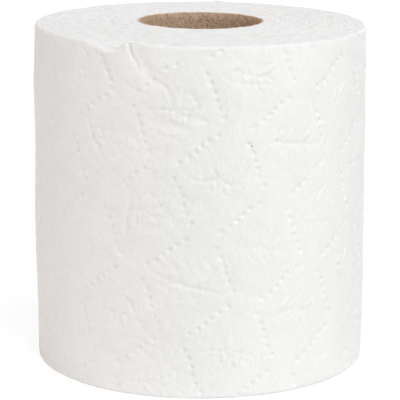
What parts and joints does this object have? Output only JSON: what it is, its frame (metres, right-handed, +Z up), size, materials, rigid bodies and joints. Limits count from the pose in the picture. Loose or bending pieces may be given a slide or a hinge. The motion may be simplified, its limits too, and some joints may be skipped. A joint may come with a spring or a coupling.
{
  "type": "toilet paper roll",
  "caption": "Roll of quilted tissue wound on a cardboard core, with perforated sheets and an open bore for a holder's spindle.",
  "frame": {"origin": "centre of the core's bore at the end that the roll stands on", "axes": "+Z up along the core's axis; -Y is the front, and the free edge of the sheet is at the back"},
  "size_m": [0.1077, 0.1077, 0.11],
  "materials": {
    "core_board": "matt grey-brown greyboard, wound in a spiral",
    "tissue": "matt white creped tissue, quilted"
  },
  "bodies": {
    "root": {"cardboard_core": "core_board", "tissue_winding": "tissue"}
  },
  "joints": []
}
